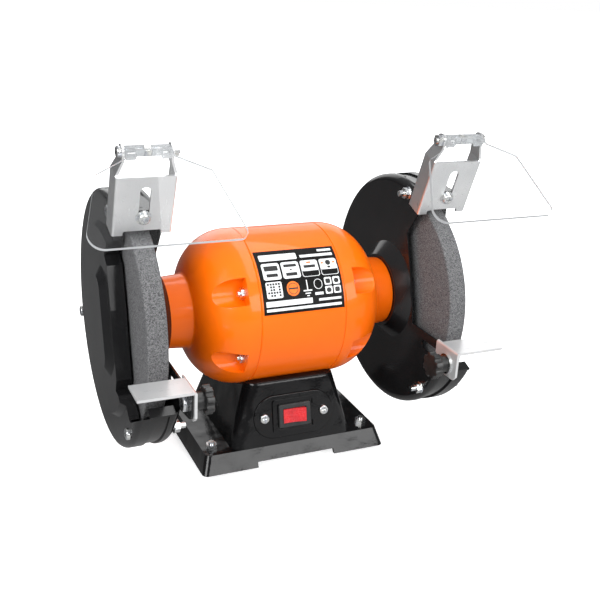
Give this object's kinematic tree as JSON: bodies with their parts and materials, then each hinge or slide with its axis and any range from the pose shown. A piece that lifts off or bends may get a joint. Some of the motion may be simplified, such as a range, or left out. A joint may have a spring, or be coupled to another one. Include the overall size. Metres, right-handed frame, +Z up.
{
  "type": "bench grinder",
  "caption": "Double-wheel bench grinder: orange motor on a black base, guarded grey wheels, adjustable tool rests with star knobs, and clear hinged eye shields on slotted brackets.",
  "frame": {"origin": "on the bench surface under the feet, midway between the wheels, below the shaft axis", "axes": "+X along the shaft to the operator's right, -Y towards the operator, +Z up"},
  "size_m": [0.3017, 0.1896, 0.2328],
  "materials": {
    "orange_shell": "gloss orange stove enamel on a steel tube",
    "orange_bell": "gloss orange enamel on die-cast metal",
    "base_gloss": "gloss black moulding",
    "guard_black": "satin-gloss black enamel on pressed steel",
    "zinc": "bright zinc plate",
    "nickel": "bright nickel-plated sheet steel",
    "steel_shaft": "ground steel",
    "bearing_steel": "polished bearing steel",
    "lamination": "stacked electrical steel",
    "copper": "enamelled copper wire",
    "cast_aluminium": "cast aluminium",
    "abrasive": "grey vitrified aluminium oxide",
    "blotter": "compressible paper",
    "clear_plastic": "clear polycarbonate",
    "knob_black": "black phenolic moulding",
    "switch_black": "satin black moulding",
    "rocker_red": "gloss red moulding",
    "rubber_feet": "soft black rubber",
    "black_rubber": "flexible black moulding",
    "capacitor": "drawn aluminium can",
    "terminal_block": "ivory nylon",
    "brass": "tinned brass",
    "label": "printed black label"
  },
  "bodies": {
    "grinder_body": {"base_housing": "base_gloss", "base_bottom_plate": "zinc", "rubber_feet": "rubber_feet", "foot_screws": "zinc", "foot_nuts": "zinc", "bottom_plate_screws": "zinc", "cable_gland": "black_rubber", "capacitor": "capacitor", "capacitor_clamp": "zinc", "terminal_block": "terminal_block", "switch_plate": "switch_black", "switch_plate_screws": "zinc", "switch_housing": "switch_black", "switch_terminals": "brass", "motor_shell": "orange_shell", "motor_screws": "zinc", "end_bell_left": "orange_bell", "end_bell_right": "orange_bell", "tie_bolts": "zinc", "tie_bolt_nuts": "zinc", "stator_core": "lamination", "stator_windings": "copper", "rating_label": "label", "bearing_outer_rings": "bearing_steel", "bearing_balls": "bearing_steel", "wave_washer": "bearing_steel", "inner_guard_left": "guard_black", "inner_guard_right": "guard_black", "guard_band_left": "guard_black", "guard_band_right": "guard_black", "outer_cover_left": "guard_black", "outer_cover_right": "guard_black", "cover_screws": "zinc", "cover_nuts": "zinc", "guard_mount_screws": "zinc", "bracket_clamp_screws": "zinc"},
    "rotor": {"rotor_shaft": "steel_shaft", "rotor_core": "lamination", "rotor_end_rings": "cast_aluminium", "bearing_inner_rings": "bearing_steel", "wheel_flanges": "zinc", "wheel_blotters": "blotter", "grinding_wheel_left": "abrasive", "grinding_wheel_right": "abrasive", "arbor_nuts": "zinc"},
    "rocker": {"switch_rocker": "rocker_red"},
    "bracket_left": {"shield_bracket_left": "nickel", "hinge_bolt_left": "zinc", "hinge_nuts_left": "zinc"},
    "shield_left": {"eye_shield_left": "clear_plastic"},
    "rest_left": {"tool_rest_left": "nickel", "rest_bolt_left": "zinc"},
    "knob_left": {"rest_knob_left": "knob_black"},
    "bracket_right": {"shield_bracket_right": "nickel", "hinge_bolt_right": "zinc", "hinge_nuts_right": "zinc"},
    "shield_right": {"eye_shield_right": "clear_plastic"},
    "rest_right": {"tool_rest_right": "nickel", "rest_bolt_right": "zinc"},
    "knob_right": {"rest_knob_right": "knob_black"}
  },
  "joints": [
    {"name": "rotor_spin", "type": "hinge", "parent": "grinder_body", "child": "rotor", "pos_m": [0, 0, 0.1054], "axis": [1, 0, 0], "continuous": true},
    {"name": "rocker_tilt", "type": "hinge", "parent": "grinder_body", "child": "rocker", "pos_m": [0, -0.04279, 0.0364], "axis": [0, 0.2191, 0.9757], "range_deg": [0, 16]},
    {"name": "bracket_left_height", "type": "slide", "parent": "grinder_body", "child": "bracket_left", "axis": [0, -0.343, 0.9393], "range_m": [-0.005, 0]},
    {"name": "shield_left_flip", "type": "hinge", "parent": "bracket_left", "child": "shield_left", "pos_m": [-0.10625, -0.05332, 0.22818], "axis": [-1, 0, 0], "range_deg": [-25, 110]},
    {"name": "rest_left_feed", "type": "slide", "parent": "grinder_body", "child": "rest_left", "axis": [0, 1, 0], "range_m": [-0.0034, 0.0048]},
    {"name": "knob_left_turn", "type": "hinge", "parent": "rest_left", "child": "knob_left", "pos_m": [-0.0785, -0.09, 0.0834], "axis": [1, 0, 0], "range_deg": [0, 360]},
    {"name": "bracket_right_height", "type": "slide", "parent": "grinder_body", "child": "bracket_right", "axis": [0, -0.343, 0.9393], "range_m": [-0.005, 0]},
    {"name": "shield_right_flip", "type": "hinge", "parent": "bracket_right", "child": "shield_right", "pos_m": [0.10625, -0.05332, 0.22818], "axis": [-1, 0, 0], "range_deg": [-25, 110]},
    {"name": "rest_right_feed", "type": "slide", "parent": "grinder_body", "child": "rest_right", "axis": [0, 1, 0], "range_m": [-0.0034, 0.0048]},
    {"name": "knob_right_turn", "type": "hinge", "parent": "rest_right", "child": "knob_right", "pos_m": [0.0785, -0.09, 0.0834], "axis": [1, 0, 0], "range_deg": [0, 360]}
  ]
}
